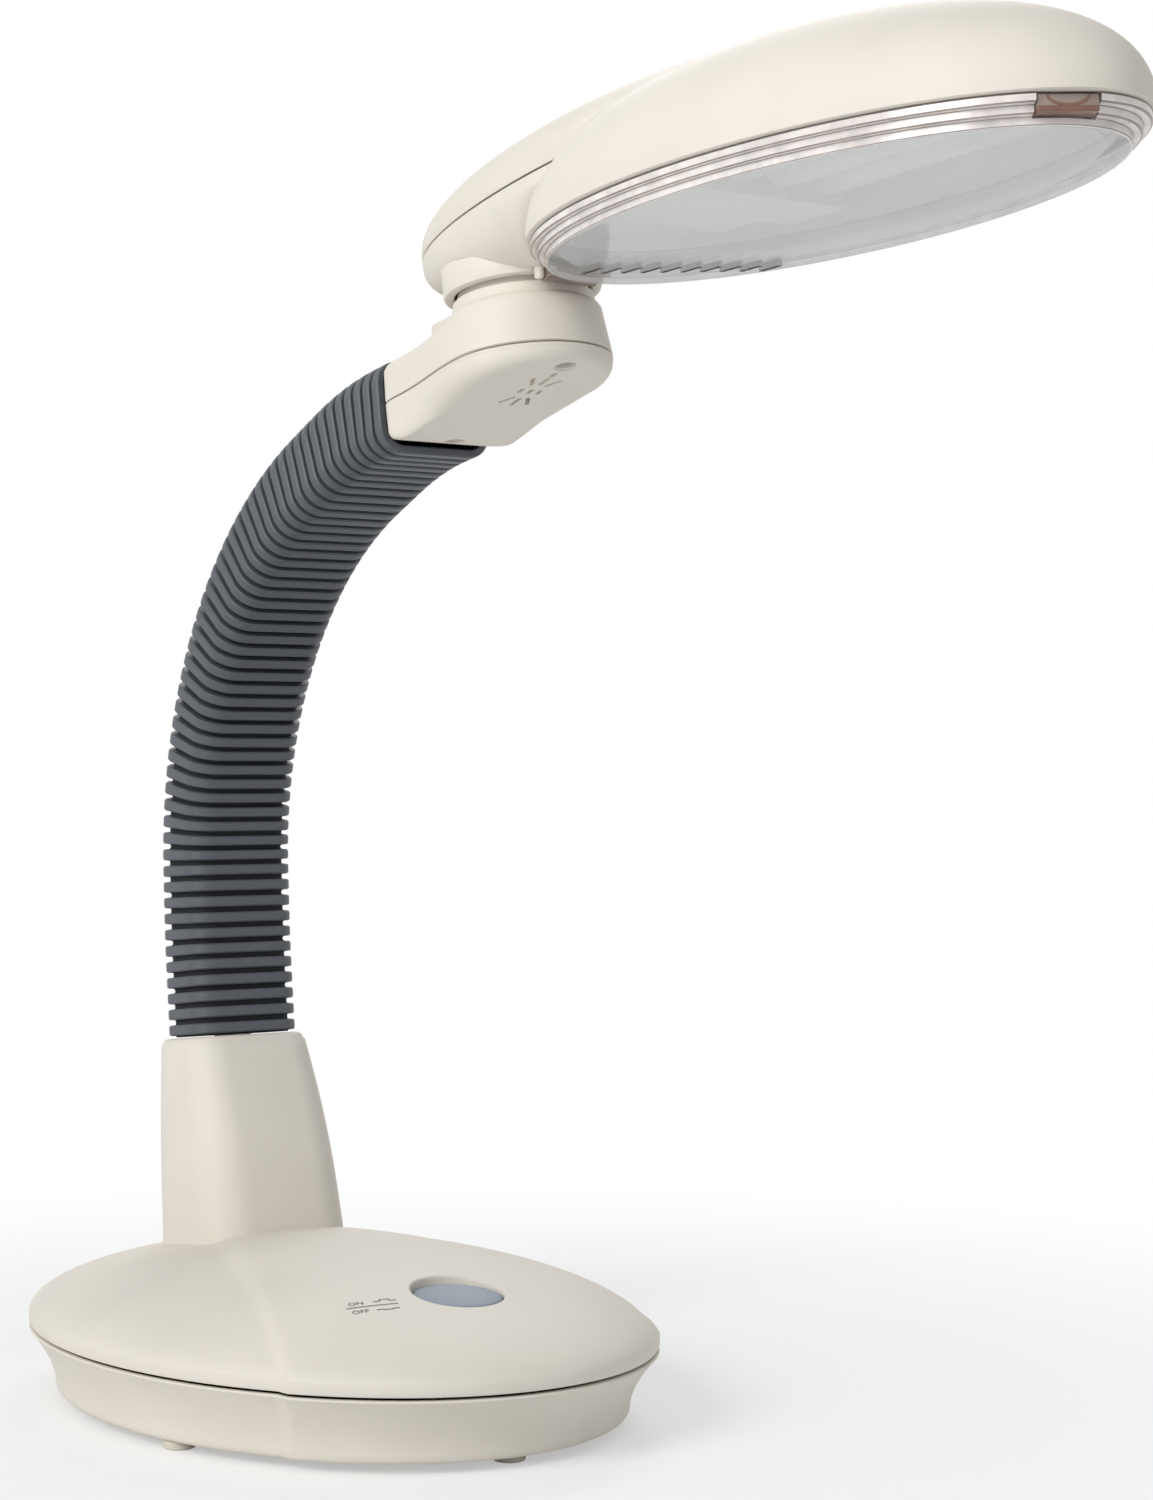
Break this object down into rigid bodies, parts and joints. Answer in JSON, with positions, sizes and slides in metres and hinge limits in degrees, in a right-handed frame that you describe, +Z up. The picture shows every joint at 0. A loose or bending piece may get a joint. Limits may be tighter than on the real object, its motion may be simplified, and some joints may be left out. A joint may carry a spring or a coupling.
{
  "type": "desk lamp",
  "caption": "Gooseneck desk lamp with an oval weighted base, ribbed neck, swivelling oval head and a hinged clear diffuser over a compact tube lamp.",
  "frame": {"origin": "on the desk under the middle of the oval base, in the plane of the rubber feet", "axes": "+Z up from the desk, -Y towards the front where the head reaches out, X across the lamp's plane of symmetry"},
  "size_m": [0.202, 0.5302, 0.438],
  "materials": {
    "ivory_abs": "moulded ABS, satin",
    "neck_rubber": "moulded ribbed elastomer, satin",
    "foot_rubber": "matte rubber",
    "button_plastic": "moulded, fine matte",
    "clear_plastic": "clear moulded acrylic",
    "latch_plastic": "smoke tinted clear",
    "lamp_glass": "white phosphor coating behind glass",
    "lamp_plastic": "white moulded",
    "steel": "zinc plated",
    "cast_iron": "raw casting",
    "reflector_metal": "satin",
    "board": "glass-fibre board",
    "dark_plastic": "moulded",
    "washer_plastic": "natural nylon"
  },
  "bodies": {
    "base": {"base_tray": "ivory_abs", "base_cover": "ivory_abs", "rubber_feet": "foot_rubber", "base_screws": "steel", "base_weight": "cast_iron", "ballast_board": "board", "board_posts": "lamp_plastic", "ballast_choke": "dark_plastic", "ballast_capacitors": "dark_plastic", "switch_body": "lamp_plastic", "cord_inlet": "dark_plastic", "column": "ivory_abs", "column_screws": "steel", "neck_anchor": "cast_iron", "neck_core": "steel", "neck_sleeve_01": "neck_rubber"},
    "neck_02": {"neck_sleeve_02": "neck_rubber"},
    "neck_03": {"neck_sleeve_03": "neck_rubber"},
    "neck_04": {"neck_sleeve_04": "neck_rubber"},
    "neck_05": {"neck_sleeve_05": "neck_rubber"},
    "neck_06": {"neck_sleeve_06": "neck_rubber"},
    "neck_07": {"neck_sleeve_07": "neck_rubber"},
    "neck_08": {"neck_sleeve_08": "neck_rubber"},
    "neck_09": {"neck_sleeve_09": "neck_rubber"},
    "neck_10": {"neck_sleeve_10": "neck_rubber"},
    "neck_11": {"neck_sleeve_11": "neck_rubber"},
    "neck_12": {"neck_sleeve_12": "neck_rubber"},
    "neck_13": {"neck_sleeve_13": "neck_rubber"},
    "neck_14": {"neck_sleeve_14": "neck_rubber"},
    "neck_15": {"neck_sleeve_15": "neck_rubber"},
    "neck_16": {"neck_sleeve_16": "neck_rubber"},
    "knuckle": {"knuckle_housing": "ivory_abs", "knuckle_cover": "ivory_abs", "knuckle_screws": "steel", "friction_washer": "washer_plastic", "neck_clamp": "cast_iron", "neck_sleeve_17": "neck_rubber"},
    "head": {"swivel_shaft": "steel", "swivel_ring": "steel", "head_shell": "ivory_abs", "tail_cover": "ivory_abs", "head_screws": "steel", "reflector": "reflector_metal", "lamp_socket": "lamp_plastic", "tube_clip": "steel", "lens_hinge": "ivory_abs"},
    "button": {"push_button": "button_plastic"},
    "bulb": {"lamp_tubes": "lamp_glass", "lamp_cap": "lamp_plastic"},
    "diffuser": {"diffuser": "clear_plastic"},
    "latch": {"lens_latch": "latch_plastic"}
  },
  "joints": [
    {"name": "neck_sway", "type": "hinge", "parent": "base", "child": "neck_02", "pos_m": [0, 0.07788, 0.1439], "axis": [0, 0.9945, -0.1045], "range_deg": [-6, 6], "deforming": ["neck_core"]},
    {"name": "neck_bend_a", "type": "hinge", "parent": "neck_02", "child": "neck_03", "pos_m": [0, 0.07976, 0.1618], "axis": [1, 0, 0], "range_deg": [-7.5, 1], "deforming": ["neck_core"]},
    {"name": "neck_sway_03", "type": "hinge", "parent": "neck_03", "child": "neck_04", "pos_m": [0, 0.0807, 0.17978], "axis": [0, 0.9986, -0.0523], "range_deg": [-6.05, 6.05], "deforming": ["neck_core"]},
    {"name": "neck_bend_a_04", "type": "hinge", "parent": "neck_04", "child": "neck_05", "pos_m": [0, 0.08165, 0.19775], "axis": [1, 0, 0], "range_deg": [-7.55, 1.05], "deforming": ["neck_core"]},
    {"name": "neck_bend_a_05", "type": "hinge", "parent": "neck_05", "child": "neck_06", "pos_m": [0, 0.08039, 0.21571], "axis": [1, 0, 0], "range_deg": [-7.55, 1.05], "deforming": ["neck_core"]},
    {"name": "neck_bend_b", "type": "hinge", "parent": "neck_06", "child": "neck_07", "pos_m": [0, 0.07696, 0.23338], "axis": [1, 0, 0], "range_deg": [-7.5, 1], "deforming": ["neck_core"]},
    {"name": "neck_bend_b_07", "type": "hinge", "parent": "neck_07", "child": "neck_08", "pos_m": [0, 0.0714, 0.2505], "axis": [1, 0, 0], "range_deg": [-7.55, 1.05], "deforming": ["neck_core"]},
    {"name": "neck_bend_b_08", "type": "hinge", "parent": "neck_08", "child": "neck_09", "pos_m": [0, 0.06379, 0.26681], "axis": [1, 0, 0], "range_deg": [-7.55, 1.05], "deforming": ["neck_core"]},
    {"name": "neck_bend_c", "type": "hinge", "parent": "neck_09", "child": "neck_10", "pos_m": [0, 0.05425, 0.28208], "axis": [1, 0, 0], "range_deg": [-7.5, 1], "deforming": ["neck_core"]},
    {"name": "neck_bend_c_10", "type": "hinge", "parent": "neck_10", "child": "neck_11", "pos_m": [0, 0.04292, 0.29607], "axis": [1, 0, 0], "range_deg": [-7.55, 1.05], "deforming": ["neck_core"]},
    {"name": "neck_bend_c_11", "type": "hinge", "parent": "neck_11", "child": "neck_12", "pos_m": [0, 0.02997, 0.30857], "axis": [1, 0, 0], "range_deg": [-7.55, 1.05], "deforming": ["neck_core"]},
    {"name": "neck_bend_d", "type": "hinge", "parent": "neck_12", "child": "neck_13", "pos_m": [0, 0.0156, 0.3194], "axis": [1, 0, 0], "range_deg": [-7.5, 1], "deforming": ["neck_core"]},
    {"name": "neck_bend_d_13", "type": "hinge", "parent": "neck_13", "child": "neck_14", "pos_m": [0, 0.00001, 0.3284], "axis": [1, 0, 0], "range_deg": [-7.55, 1.05], "deforming": ["neck_core"]},
    {"name": "neck_sway_14", "type": "hinge", "parent": "neck_14", "child": "neck_15", "pos_m": [0, -0.01656, 0.33543], "axis": [0, 0.3907, 0.9205], "range_deg": [-6.05, 6.05], "deforming": ["neck_core"]},
    {"name": "neck_bend_e", "type": "hinge", "parent": "neck_15", "child": "neck_16", "pos_m": [0, -0.03313, 0.34247], "axis": [1, 0, 0], "range_deg": [-7.5, 1], "deforming": ["neck_core"]},
    {"name": "neck_bend_e_16", "type": "hinge", "parent": "neck_16", "child": "knuckle", "pos_m": [0, -0.05043, 0.34743], "axis": [1, 0, 0], "range_deg": [-7.55, 1.05], "deforming": ["neck_core"]},
    {"name": "head_swivel", "type": "hinge", "parent": "knuckle", "child": "head", "pos_m": [0, -0.12158, 0.38401], "axis": [0, 0.1564, 0.9877], "range_deg": [-90, 90]},
    {"name": "diffuser_hinge", "type": "hinge", "parent": "head", "child": "diffuser", "pos_m": [0, -0.14818, 0.38455], "axis": [1, 0, 0], "range_deg": [0, 50]},
    {"name": "latch_flex", "type": "hinge", "parent": "diffuser", "child": "latch", "pos_m": [-0.01062, -0.38306, 0.39268], "axis": [0.8596, -0.5105, 0.0201], "range_deg": [-5, 0], "stiffness_Nm_per_rad": 0.4, "springref_deg": 4.01},
    {"name": "bulb_pull", "type": "slide", "parent": "head", "child": "bulb", "axis": [0, -0.9992, 0.0393], "range_m": [0, 0.008]},
    {"name": "button_press", "type": "slide", "parent": "base", "child": "button", "axis": [0, 0.0872, -0.9962], "range_m": [0, 0.003], "stiffness_N_per_m": 900, "springref_m": -0.002}
  ],
  "couplings": [
    {"joint": "neck_sway_03", "follows": "neck_sway", "ratio": 1},
    {"joint": "neck_bend_a_04", "follows": "neck_bend_a", "ratio": 1},
    {"joint": "neck_bend_a_05", "follows": "neck_bend_a", "ratio": 1},
    {"joint": "neck_bend_b_07", "follows": "neck_bend_b", "ratio": 1},
    {"joint": "neck_bend_b_08", "follows": "neck_bend_b", "ratio": 1},
    {"joint": "neck_bend_c_10", "follows": "neck_bend_c", "ratio": 1},
    {"joint": "neck_bend_c_11", "follows": "neck_bend_c", "ratio": 1},
    {"joint": "neck_bend_d_13", "follows": "neck_bend_d", "ratio": 1},
    {"joint": "neck_sway_14", "follows": "neck_sway", "ratio": 1},
    {"joint": "neck_bend_e_16", "follows": "neck_bend_e", "ratio": 1}
  ]
}
